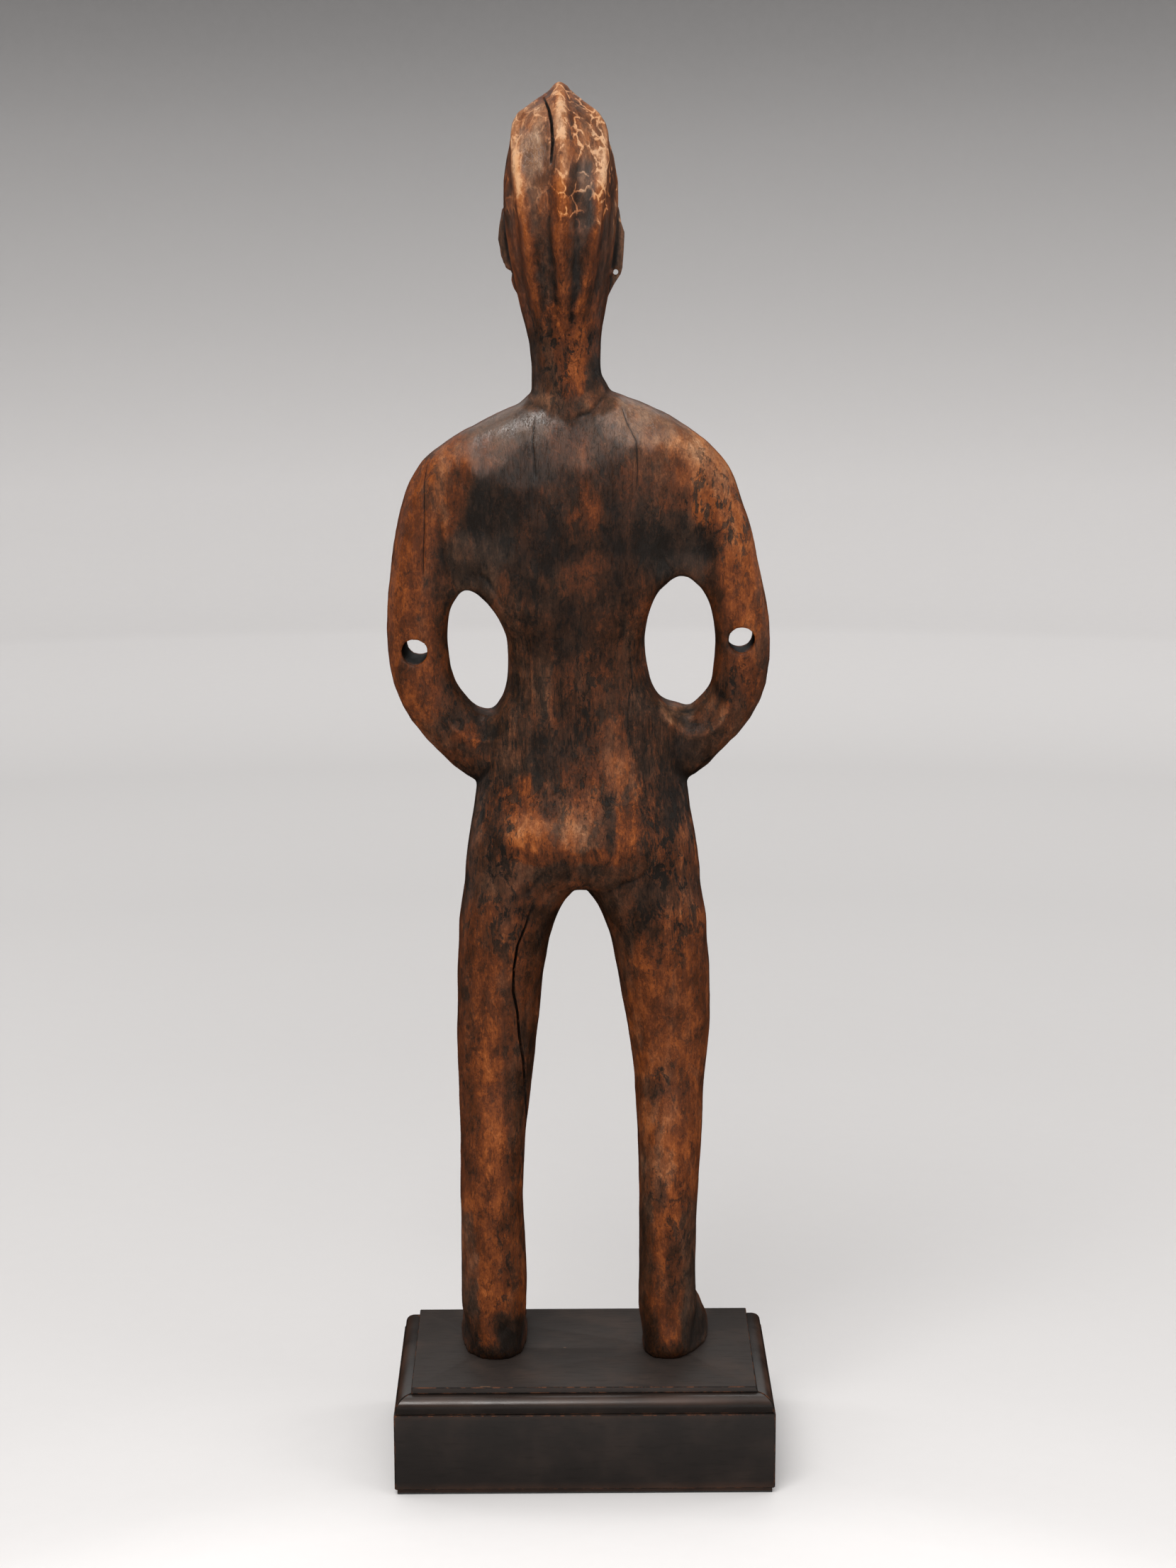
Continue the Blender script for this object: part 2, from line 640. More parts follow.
# Drying cracks and hairlines in the back, as (x, z) places down each line.
LEG_CRACK_DEPTH = 3.2
CREST_CRACK_DEPTH = 2.6
HAIRLINE_DEPTH = 0.45
CREASE_DEPTH = 0.7
LEG_CRACK = [(32.5, 302), (36.5, 290), (41, 279), (43.5, 263), (44, 247), (41.5, 233), (40.5, 217),
             (38, 199), (37, 181), (36.5, 148)]
CREST_CRACK = [(22, 799), (19, 792), (17.5, 784), (17, 773), (18, 760)]
HAIRLINES = [
    [(-24, 616.5), (-27, 607), (-33, 595), (-34, 579.5), (-33.5, 564)],
    [(28.5, 607.5), (30, 595), (29, 584.5), (28.5, 573.5)],
    [(93.5, 583.5), (96.5, 569.5), (96.5, 547.5), (97.5, 524), (97.5, 508.5)],
    [(-30, 461), (-30.5, 452), (-31, 446)],
]
CREASES = [
    [(66, 378), (63.5, 382), (60.5, 387), (57, 393.5)],
    [(-67, 377), (-71.5, 384.5), (-79, 394), (-80.5, 407)],
    [(-14, 311), (-24, 319), (-36, 323), (-42, 331)],
    [(9, 343.5), (10, 332), (9, 320.5)],
    [(36, 312), (28, 321), (24, 328)],
    [(64, 513), (56, 507), (47, 492)],
    [(-48, 524), (-53, 517), (-58, 512)],
]
NECK_SEAM = [(36, 623), (31, 620), (23.5, 614.5), (18.5, 610), (10.5, 608), (1.5, 610.5),
             (-6.5, 615), (-12.5, 621.5), (-18, 627)]

# Hair: a crest down the middle and a ridge at each side, down the back of the head.
RIDGE_HEIGHTS = (1.3, 0.9, 0.9)
RIDGE_HALF_WIDTHS = (6.0, 4.5, 4.5)
RIDGE_WORN_HALF_WIDTHS = (3.6, 2.4, 2.4)
HAIR_RIDGES = [
    [(13, 807), (11.5, 790.5), (10, 770), (11, 749), (11.5, 732.5), (12.5, 712.5), (11, 693),
     (10.5, 665)],
    [(37, 793), (40, 787.5), (40.5, 772.5), (38, 756), (36, 737.5), (33, 720.5), (30.5, 699.5),
     (26.5, 678), (21.5, 662.5)],
    [(-6, 797), (-10, 790), (-15, 778), (-14, 760), (-11, 746), (-8.5, 726.5), (-6, 706.5),
     (-3, 692.5), (3, 674)],
]
GROOVE_DEPTH = 0.6
HAIR_GROOVES = [
    [(43, 762.5), (42.5, 740), (40.5, 720), (38.5, 706), (35, 683)],
    [(-21, 748.5), (-18.5, 728.5), (-18, 711.5), (-15.5, 691.5), (-10, 668.5)],
    [(-14.5, 742), (-13.5, 722), (-12, 700), (-9, 682)],
    [(19, 757), (19.5, 735), (18.5, 712), (16, 690), (14.5, 672)],
    [(1.5, 782), (1, 760), (2.5, 735), (3, 712), (4.5, 690)],
]

# Hollows (negative) and swells cut with a gouge: x, z, half width, half height, depth.
GOUGED = [
    (-62, 527, 20, 13, -1.8), (66, 511, 16, 9, -1.4), (34, 352, 20, 11, 1.3), (-14, 352, 18, 11, 1.2),
    (10, 323, 40, 10, -0.6), (45, 600, 24, 10, 0.8), (-40, 598, 24, 10, 0.6), (52, 20, 5, 6, -1.8),
    (47, 12, 4, 5, -1), (-56, 24, 3, 7, -0.6), (11, 576, 7, 30, -0.6), (29, 752, 6, 26, -1),
    (4, 748, 3.5, 26, -0.7), (-5, 752, 4, 24, -0.8),
]
# Scoops round the windows' lower rims: centre x, z, half width, half height, depth.
SCOOPS = [
    (-70, 437, 21.5, 26.5, 2.6),
    (61, 433, 25, 26, 0.8),
]
# Fine cuts in the face: places (sideways from the face's middle, z), half width and depth, on both sides.
FACE_CUTS = [
    ([(6.2, 730.8), (10, 729.2), (14, 728.8), (18, 729.5), (21.2, 731.2)], 1.7, 0.9),  # lower lids
    ([(5.6, 735.4), (10, 737.2), (14, 737.6), (18, 736.6), (21.6, 734.2)], 1.6, 0.5),  # upper lids
    ([(-9.4, 699.3), (-4.5, 698.6), (0, 697.9), (4.5, 698.6), (9.4, 699.3)], 1.6, 0.9),  # mouth
    ([(7.6, 717), (8.8, 711.5), (11.8, 705.5)], 1.7, 0.45),  # cheeks beside the nose
    ([(0, 708.5), (0, 703.4)], 1.8, 0.5),  # groove above the lip
    ([(-6.5, 691.9), (0, 690.8), (6.5, 691.9)], 2.4, 0.6),  # hollow under the lip
    ([(3, 710.2), (4.6, 709.9)], 1.6, 0.9),  # nostrils
]
ELBOW_BORES = [((102.7, 3, 465.2), (-0.12, -1, 0.13)), ((-98.8, 3, 470.8), (0.02, -1, 0.02))]
ELBOW_BORE_RADIUS = 8.1
EAR_HOLE = ((-21.2, -10, 695), (0, -1, 0))
EAR_HOLE_RADIUS = 1.7
EAR_HOLE_ROUGH = 2.7  # widened before the remesh, which would close it
PIN_HOLES = [((58.7, 2, 0), (0, 0, 1)), ((-54.6, 2, 0), (0, 0, 1))]
PIN_HOLE_RADIUS = 3.5
PIN_HOLE_DEPTH = 60
HEAD_MIDDLE_X = 12.4


def to_figure(points):
    return (points - SOLE) / MM


def move_to(mesh, points):
    """Puts the mesh's vertices at places in the figure's own frame."""
    mesh.vertices.foreach_set("co", (points * MM + SOLE).ravel())
    mesh.update()


def facing_back(normals):
    return step(normals[:, 1], -0.1, 0.35)


def facing_front(normals):
    return step(-normals[:, 1], 0.1, 0.5)


def face_cut_reach(points, line, half_width):
    """line_reach for a cut in the face and its mirror image."""
    both = [[(HEAD_MIDDLE_X + side * x, z) for x, z in line] for side in (-1, 1)]
    return np.maximum(*(line_reach(points, placed, half_width) for placed in both))


def on_head(points):
    return step(points[:, 2], 655, 690)


def true_holes(points, normals, bores, radius, reach, top=None):
    """Moves the wall of each bored hole to its true radius."""
    for at, way in bores:
        away, _ = off_axis(points, at, way)
        distance = np.maximum(np.linalg.norm(away, axis=1), 1e-6)
        inward = -np.sum(normals * away, axis=1) / distance
        wall = (distance < radius + reach) & (inward > 0.55)
        if top is not None:
            wall &= points[:, 2] < top
        points = points + np.where(wall, radius / distance - 1, 0)[:, None] * away
    return points


def hair_facets(points):
    """How strongly the adze's facets show on the head, their hollows and their edges."""
    nearest, next_one = tool_cells(points, (9.5, 14, 15), 11)
    width = 0.14 + 0.1 * soft_noise(points, 8, 12)
    edge = fade(next_one - nearest, 0.01, width)
    upper = 0.2 + 0.8 * step(points[:, 2], 715, 745)
    right_plane = 0.45 + 0.55 * fade(points[:, 0], 6, 22)
    broken = step(soft_noise(points, (9, 9, 12), 13), -0.35, 0.45)
    return upper * right_plane * broken * on_head(points), fade(nearest, 0, 0.7), edge


def neck_seam(points, back):
    """Height above the neck's seam, and where the seam is, from 0 to 1."""
    seam_z = np.interp(points[:, 0], *zip(*sorted(NECK_SEAM)))
    above = points[:, 2] - seam_z + 1.3 * soft_noise(points, 5, 15)
    return above, step(points[:, 0], -20, -14) * fade(points[:, 0], 31, 37) * back


def carving(points, normals):
    """How far each point moves out along its normal, in millimetres."""
    back = facing_back(normals)
    body = 1 - on_head(points)
    out = 0.5 * soft_noise(points, (24, 24, 36), 1) + 0.22 * soft_noise(points, (10, 10, 16), 2)
    out += 0.07 * soft_noise(points, (4, 4, 7), 3)
    out += 0.11 * body * soft_noise(points, (2.6, 2.6, 34), 4)
    nearest, _ = tool_cells(points, (17, 17, 24), 5)
    out -= 0.32 * body * fade(nearest, 0, 0.75)

    strength, hollow, edge = hair_facets(points)
    out += strength * (0.3 * edge - 0.45 * hollow)
    for line, height, width in zip(HAIR_RIDGES, RIDGE_HEIGHTS, RIDGE_HALF_WIDTHS):
        out += height * back * step(line_reach(points, line, width, 0), 0, 1)
    for line in HAIR_GROOVES:
        out -= GROOVE_DEPTH * back * line_reach(points, line, 2.6)

    for line, width, depth in FACE_CUTS:
        out -= depth * facing_front(normals) * face_cut_reach(points, line, width)

    out += back * dabbed(points, GOUGED)
    for x, z, wide, high, depth in SCOOPS:
        ring = ring_place(points, x, z, wide, high) + 0.035 * soft_noise(points, 7, 6)
        below = step(z - points[:, 2], -8, 4) * step(abs(points[:, 0]), 44, 54)
        out -= depth * back * below * fade(ring, 0.72, 1.0)
        out += 0.45 * back * below * bump_at(ring, 1.05, 0.05)

    above, near_neck = neck_seam(points, back)
    seam_depth = 0.2 + 0.6 * step(soft_noise(points, 9, 16), -0.5, 0.4)
    out += near_neck * seam_depth * 0.8 * step(above, -0.6, 1.8) * fade(above, 5, 16)
    out -= near_neck * seam_depth * 0.7 * bump_at(above, -1.4, 1.3)

    for line in CREASES:
        out -= CREASE_DEPTH * back * line_reach(points, line, 2.2)
    for line in HAIRLINES:
        out -= HAIRLINE_DEPTH * back * line_reach(points, line, 0.9)
    out -= LEG_CRACK_DEPTH * back * line_reach(points, LEG_CRACK, 0.95, 0.25)
    out -= CREST_CRACK_DEPTH * back * line_reach(points, CREST_CRACK, 1.1, 0.25)
    return out


FINE_LINES = [LEG_CRACK, CREST_CRACK, *HAIRLINES]
BODY_VOXEL = 1.35 * MM
FIGURE_TRIANGLES = 190000
FORM_ROUNDS = 26
JOIN_ROUNDS = 40
LAST_ROUNDS = 3
SOLE_REACH = 1.2  # faces that look down and lie lower than this are the sole


def refine_near_lines(mesh):
    """Splits the faces round the cracks and hairlines, so that the cuts come out sharp."""
    bm = bmesh.new()
    bm.from_mesh(mesh)
    for reach in (3.0, 2.0):
        points = to_figure(np.array([v.co[:] for v in bm.verts]))
        normals = np.array([v.normal[:] for v in bm.verts])
        near = np.zeros(len(points), bool)
        for line in FINE_LINES:
            near |= line_reach(points, line, reach, 0) > 0
        near &= normals[:, 1] > -0.2
        bm.edges.ensure_lookup_table()
        chosen = [e for e in bm.edges if near[e.verts[0].index] and near[e.verts[1].index]]
        bmesh.ops.subdivide_edges(bm, edges=chosen, cuts=1, use_grid_fill=True)
        bm.verts.index_update()
        bm.normal_update()
    bmesh.ops.triangulate(bm, faces=[f for f in bm.faces if len(f.verts) > 4])
    return plain_mesh(bm, "carved_figure_fine")


def soft_weight(points):
    """How much smoothing each place takes: the ears, face, hands and toes keep their crispness."""
    weight = np.ones(len(points))
    x, y, z = points.T
    ears = (z > 676) & (z < 742) & ((x > 41.5) | (x < -17))
    face = (z > 670) & (z < 752) & (y < -20)
    hands = (z > 368) & (z < 432) & (y < -16) & (abs(x) < 64)
    toes = (z < 14) & (y < -38)
    weight[ears] = 0.12
    weight[face | hands | toes] = 0.3
    return weight


# Joins that are blended more than the rest: x and z from, to, and how deep the blend reaches past them.
BLENDED_JOINS = [
    ((-95, 95), (276, 346), 14),
    ((40, 90), (396, 442), 8),
    ((-90, -40), (396, 442), 8),
    ((36, 92), (470, 512), 8),
    ((-92, -32), (470, 516), 8),
    ((-110, -60), (555, 590), 8),
    ((70, 115), (555, 590), 8),
]


def join_weight(points):
    """1 where the carving's parts run into each other and have to be blended, 0 elsewhere."""
    weight = np.zeros(len(points))
    for (x_from, x_to), (z_from, z_to), edge in BLENDED_JOINS:
        across = step(points[:, 0], x_from - edge, x_from) * fade(points[:, 0], x_to, x_to + edge)
        up = step(points[:, 2], z_from - edge, z_from) * fade(points[:, 2], z_to, z_to + edge)
        weight = np.maximum(weight, across * up)
    return weight


def widen_ear_hole(mesh):
    points = to_figure(points_of(mesh))
    away = points[:, [0, 2]] - np.array(EAR_HOLE[0])[[0, 2]]
    distance = np.linalg.norm(away, axis=1)
    on_rim = (distance < EAR_HOLE_RADIUS + 0.4) & (distance > 0.5)
    points[np.ix_(on_rim, [0, 2])] += away[on_rim] * (EAR_HOLE_ROUGH / distance[on_rim] - 1)[:, None]
    move_to(mesh, points)


def smooth_form(mesh):
    """Takes the facets off the whole form, and blends the joins of its parts further."""
    edges = edges_of(mesh)
    points = to_figure(points_of(mesh))
    weight = smoothed(soft_weight(points)[:, None], edges, 4, keep_size=False)[:, 0]
    points = smoothed(points, edges, FORM_ROUNDS, 0.6, weight)
    points = smoothed(points, edges, JOIN_ROUNDS, 0.6, join_weight(points) * weight, keep_size=False)
    points = smoothed(points, edges, LAST_ROUNDS, 0.5, weight, keep_size=False)
    move_to(mesh, points)


def carve(mesh):
    """Cuts the carving, brings the holes to their true sizes and keeps the sole flat."""
    points = to_figure(points_of(mesh))
    normals = normals_of(mesh)
    off_sole = step(points[:, 2], 0.5, 6)
    moved = points + normals * (carving(points, normals) * off_sole)[:, None]
    moved = true_holes(moved, normals, ELBOW_BORES, ELBOW_BORE_RADIUS, 1.0)
    moved = true_holes(moved, normals, [EAR_HOLE], EAR_HOLE_RADIUS, 2.0)
    moved = true_holes(moved, normals, PIN_HOLES, PIN_HOLE_RADIUS, 0.9, PIN_HOLE_DEPTH)
    moved[(points[:, 2] < SOLE_REACH) & (normals[:, 2] < -0.6), 2] = 0.0
    moved[:, 2] = np.maximum(moved[:, 2], 0.0)
    move_to(mesh, moved)


def carved_shape():
    """The figure's skin: an even mesh from the CAD solid, smoothed, then cut into as a carver would."""
    rough = plain_mesh(cad_bmesh("carved_figure"), "carved_figure_rough")
    widen_ear_hole(rough)
    piece = new_piece("carved_figure_skin", rough)
    remesh = piece.modifiers.new("even mesh", "REMESH")
    remesh.mode = "VOXEL"
    remesh.voxel_size = BODY_VOXEL
    applied(piece)
    smooth_form(piece.data)
    piece.data = refine_near_lines(piece.data)
    carve(piece.data)
    triangles = sum(len(f.vertices) - 2 for f in piece.data.polygons)
    thin = piece.modifiers.new("lighter mesh", "DECIMATE")
    thin.ratio = min(1.0, FIGURE_TRIANGLES / triangles)
    applied(piece)
    piece.data.name = "carved_figure_skin"
    shade_smooth(piece.data)
    return piece


# ---------------------------------------------------------------- the figure's patina

# Patina on the back, painted in soft dabs: x, z, half width, half height, and percentages of tone, redness
# and sheen. Tone runs from about 0, black, to 100, light tan, and redness from dusty brown to oiled red.
BACK_DABS = [
    # head
    (12, 803, 7, 6, 52, 50, 20), (11, 787, 3.4, 13, 92, 25, 30), (11, 762, 3.2, 11, 52, 35, 30),
    (12, 740, 3.5, 9, 42, 75, 20), (12, 712, 3, 12, 34, 95, 30), (11, 688, 3.5, 12, 20, 100, 30),
    (12, 664, 6, 8, 28, 90, 30), (31, 786, 9, 6, 64, 30, 35), (30, 766, 7, 9, 87, 5, 100),
    (39, 772, 2.5, 10, 80, 40, 20), (38, 752, 2.5, 9, 78, 40, 20), (36, 735, 3, 8, 50, 60, 20),
    (34, 718, 3, 8, 42, 80, 20), (31, 700, 3, 8, 38, 90, 20), (28, 682, 3, 8, 30, 80, 20),
    (28, 745, 6, 8, 56, 30, 50), (26, 722, 5, 10, 28, 40, 40), (22, 697, 5, 12, 24, 40, 50),
    (19, 775, 2.5, 12, 56, 30, 40), (19, 740, 3, 10, 44, 40, 40), (4, 787, 4, 9, 40, 30, 40),
    (5, 766, 4, 8, 64, 40, 30), (4, 745, 4, 8, 38, 40, 30), (4, 715, 4, 14, 34, 40, 50),
    (4, 690, 4, 10, 20, 50, 50), (-7, 790, 6, 6, 55, 35, 30), (-9, 770, 5, 8, 74, 35, 30),
    (-11, 756, 3, 7, 88, 35, 30), (-4, 750, 4, 8, 48, 10, 70), (-4, 731, 4, 8, 38, 20, 60),
    (-10, 735, 2.5, 8, 52, 60, 20), (-8, 712, 2.5, 8, 35, 85, 20), (-4, 692, 3, 9, 30, 95, 20),
    (0, 673, 5, 7, 43, 90, 20), (-17, 745, 3, 16, 40, 50, 30), (-15, 710, 4, 14, 25, 40, 30),
    (-12, 684, 4, 10, 26, 50, 30), (-11, 669, 3, 6, 28, 90, 20), (44, 742, 3, 20, 30, 50, 30),
    (39, 705, 4, 14, 42, 60, 30), (35, 684, 4, 12, 35, 50, 30), (48, 712, 3, 14, 27, 20, 30),
    (-24, 712, 3, 14, 44, 15, 30),
    # neck
    (27, 645, 4, 14, 14, 60, 20), (20, 652, 4, 8, 44, 40, 20), (15, 665, 4, 8, 58, 85, 20),
    (10, 650, 4, 8, 32, 90, 20), (1, 655, 5, 8, 54, 90, 20), (2, 638, 4, 8, 60, 85, 20),
    (8, 628, 4, 5, 40, 95, 20), (18, 630, 5, 8, 22, 30, 10), (-8, 655, 3, 6, 20, 70, 30),
    (-8, 634, 5, 7, 0, 40, 20), (24, 620, 7, 4, 44, 15, 0), (-6, 620, 7, 4, 42, 30, 0),
    (10, 615, 8, 4, 18, 30, 0),
    # shoulders
    (45, 604, 18, 6, 42, 0, 100), (30, 611, 9, 5, 36, 10, 90), (60, 591, 12, 7, 42, 30, 80),
    (82, 590, 10, 8, 52, 50, 40), (96, 572, 6, 12, 42, 65, 20), (89, 560, 6, 14, 56, 45, 20),
    (104, 555, 5, 20, 36, 70, 20), (76, 560, 6, 10, 22, 60, 20), (62, 552, 8, 8, -5, 30, 30),
    (48, 552, 6, 8, -4, 40, 20), (30, 578, 12, 8, 8, 50, 50), (30, 545, 10, 16, 6, 75, 30),
    (10, 592, 12, 10, 30, 30, 50), (12, 565, 10, 10, 16, 50, 30), (-3, 553, 5, 9, 32, 80, 10),
    (-12, 592, 12, 10, 33, 25, 50), (-30, 606, 12, 7, 64, 15, 100), (-18, 568, 10, 10, 12, 60, 30),
    (-35, 575, 10, 10, 24, 50, 30), (-50, 600, 10, 6, 62, 25, 70), (-62, 591, 8, 6, 72, 35, 20),
    (-76, 588, 8, 8, 72, 35, 20), (-50, 582, 10, 6, 36, 40, 20), (-70, 570, 8, 8, 60, 40, 15),
    (-85, 573, 6, 12, 67, 40, 10), (-91, 550, 6, 12, 61, 50, 10), (-76, 552, 6, 8, 66, 60, 10),
    (-60, 560, 8, 6, 30, 50, 20), (-55, 546, 14, 8, 9, 30, 30), (-66, 533, 10, 8, 12, 30, 40),
    (-45, 530, 8, 8, -4, 30, 30),
    # right arm
    (-84, 532, 4, 8, 34, 60, 10), (-97, 525, 5, 14, 50, 60, 10), (-101, 500, 5, 12, 60, 65, 15),
    (-91, 510, 4, 12, 48, 80, 10), (-84, 490, 3, 14, 12, 80, 15), (-107, 480, 5, 14, 50, 55, 15),
    (-95, 488, 4, 8, 50, 80, 10), (-88, 465, 4, 14, 9, 80, 10), (-109, 458, 4, 10, 24, 50, 10),
    (-100, 448, 6, 10, 32, 80, 10), (-92, 438, 5, 8, 8, 70, 10), (-82, 426, 6, 6, 35, 35, 10),
    (-100, 428, 6, 6, 20, 50, 20), (-85, 407, 8, 6, 18, 40, 20), (-70, 398, 8, 8, 4, 40, 20),
    (-60, 424, 5, 4, 48, 15, 30),
    # left arm
    (92, 530, 6, 12, 42, 55, 20), (88, 505, 5, 10, 24, 50, 15), (104, 520, 5, 16, 42, 85, 20),
    (107, 495, 4, 16, 42, 95, 20), (96, 485, 4, 12, 35, 60, 15), (88, 470, 4, 14, 30, 60, 15),
    (108, 440, 5, 10, 36, 70, 20), (93, 445, 6, 12, 34, 75, 15), (82, 435, 5, 10, 7, 50, 15),
    (88, 412, 8, 6, 30, 35, 30), (70, 420, 6, 6, 8, 50, 20), (72, 411, 5, 4, 38, 85, 10),
    (97, 422, 6, 8, 36, 60, 20), (76, 396, 6, 6, 22, 60, 20), (65, 385, 6, 6, 10, 40, 10),
    # back
    (0, 533, 8, 10, 12, 60, 20), (-5, 516, 9, 8, 34, 60, 10), (8, 505, 9, 7, 28, 55, 10),
    (-25, 540, 10, 14, 4, 70, 30), (-24, 505, 10, 14, 2, 75, 20), (34, 515, 10, 14, 5, 50, 30),
    (55, 527, 10, 8, 16, 20, 40), (76, 524, 8, 8, 20, 20, 40), (65, 509, 6, 5, 20, 20, 30),
    (43, 480, 5, 24, 27, 40, 15), (26, 480, 7, 24, 15, 55, 20), (5, 478, 9, 20, 6, 50, 20),
    (-10, 475, 6, 18, 28, 70, 20), (-31, 478, 6, 24, 25, 50, 15), (40, 430, 6, 20, 22, 30, 10),
    (24, 440, 4, 20, 34, 30, 10), (10, 435, 7, 16, 18, 60, 20), (-5, 440, 6, 14, 30, 50, 15),
    (-19, 425, 7, 16, 40, 50, 10), (-22, 398, 7, 13, 54, 45, 10), (-36, 420, 5, 14, 16, 40, 10),
    (-45, 400, 6, 10, 25, 35, 10), (10, 405, 8, 10, 20, 50, 20), (25, 405, 6, 10, 14, 40, 20),
    (42, 405, 5, 10, 32, 35, 10), (56, 400, 6, 10, 25, 40, 10), (0, 391, 10, 5, 37, 70, 20),
    # buttocks
    (38, 372, 7, 5, 52, 75, 10), (37, 356, 9, 8, 64, 50, 10), (30, 346, 10, 4, 54, 70, 10),
    (8, 374, 8, 7, 44, 45, 10), (9, 356, 7, 8, 60, 35, 10), (-6, 355, 6, 9, 44, 40, 10),
    (-17, 356, 2.2, 11, 14, 40, 10), (-26, 358, 5, 12, 57, 80, 10), (-25, 380, 6, 8, 57, 55, 10),
    (21, 372, 5, 6, 24, 50, 10), (28, 338, 14, 3, 30, 100, 20), (-14, 338, 14, 3, 42, 100, 20),
    (30, 328, 10, 5, 36, 25, 25), (10, 327, 8, 6, 14, 40, 20), (-12, 326, 10, 6, 24, 40, 25),
    (-30, 330, 8, 6, 20, 50, 20),
    # hips
    (55, 370, 6, 14, 17, 50, 15), (57, 345, 6, 10, 10, 55, 15), (69, 350, 5, 20, 22, 30, 30),
    (52, 325, 8, 8, 27, 35, 20), (70, 318, 6, 12, 20, 50, 30), (-41, 360, 5, 14, 26, 60, 15),
    (-55, 366, 6, 16, 10, 50, 20), (-61, 340, 8, 14, 34, 45, 10), (-46, 332, 6, 12, 28, 45, 15),
    (-71, 325, 5, 14, 30, 50, 15), (-46, 309, 8, 6, 6, 40, 20), (-20, 311, 8, 4, 20, 40, 20),
    (0, 318, 6, 4, 20, 50, 10), (20, 311, 8, 6, 36, 50, 20),
    # left leg
    (66, 295, 8, 14, 32, 60, 20), (50, 295, 8, 12, 26, 50, 20), (35, 295, 5, 12, 18, 70, 20),
    (24, 288, 4, 14, 16, 50, 20), (62, 264, 8, 14, 44, 80, 15), (74, 260, 4, 20, 31, 60, 30),
    (49, 270, 4, 14, 38, 50, 20), (35, 265, 4, 14, 26, 75, 20), (29, 240, 4, 20, 27, 50, 20),
    (60, 234, 8, 16, 48, 75, 15), (47, 235, 4, 16, 20, 50, 20), (75, 225, 4, 20, 28, 70, 30),
    (61, 200, 8, 16, 48, 80, 10), (47, 200, 4, 14, 29, 50, 15), (38, 200, 4, 16, 14, 50, 15),
    (76, 188, 4, 20, 40, 70, 30), (60, 166, 7, 16, 55, 80, 10), (45, 160, 4, 16, 28, 50, 15),
    (60, 136, 7, 14, 44, 95, 10), (73, 145, 4, 20, 25, 100, 20), (43, 125, 4, 16, 36, 50, 15),
    (58, 105, 9, 12, 46, 80, 10), (46, 95, 5, 12, 33, 60, 15), (61, 80, 6, 14, 44, 75, 10),
    (73, 75, 4, 16, 42, 35, 40), (48, 70, 5, 10, 35, 60, 10), (62, 45, 4, 14, 58, 85, 10),
    (50, 45, 6, 10, 42, 60, 10), (74, 40, 5, 14, 27, 30, 40), (52, 23, 4, 4, 6, 40, 10),
    (62, 18, 4, 8, 29, 90, 10), (46, 13, 4, 6, -12, 40, 10), (72, 15, 5, 10, 12, 50, 30),
    (58, 4, 10, 4, -6, 80, 20),
    # right leg
    (-29, 295, 5, 12, 15, 50, 20), (-42, 297, 4, 8, 8, 50, 15), (-60, 295, 8, 12, 37, 55, 15),
    (-39, 270, 5, 16, 50, 80, 15), (-55, 265, 7, 16, 38, 60, 15), (-73, 265, 5, 20, 36, 75, 20),
    (-26, 270, 4, 20, 32, 40, 30), (-45, 235, 6, 16, 42, 70, 15), (-60, 235, 7, 16, 48, 60, 15),
    (-75, 235, 4, 20, 40, 85, 15), (-32, 230, 4, 20, 44, 50, 25), (-56, 207, 8, 12, 55, 60, 15),
    (-49, 190, 4, 8, 54, 50, 10), (-45, 180, 4, 4, 28, 40, 10), (-68, 190, 6, 16, 46, 60, 15),
    (-38, 170, 4, 20, 47, 60, 20), (-52, 160, 6, 12, 55, 50, 10), (-66, 150, 6, 16, 49, 75, 10),
    (-53, 131, 5, 8, 64, 40, 10), (-48, 112, 3.5, 6, 27, 40, 10), (-62, 120, 6, 12, 45, 80, 10),
    (-40, 120, 4, 16, 41, 40, 20), (-56, 90, 6, 12, 44, 60, 10), (-50, 70, 4, 10, 54, 65, 10),
    (-41, 75, 3.5, 16, 26, 40, 20), (-67, 80, 4, 16, 27, 35, 20), (-58, 64, 3.5, 10, 22, 50, 10),
    (-50, 45, 4, 10, 41, 65, 10), (-58, 45, 4, 8, 34, 50, 10), (-70, 40, 5, 14, 22, 15, 40),
    (-56, 22, 3.5, 8, 44, 60, 10), (-44, 15, 4, 8, 14, 60, 10), (-70, 15, 6, 10, 0, 20, 40),
    (-50, 5, 8, 4, -8, 80, 10),
]

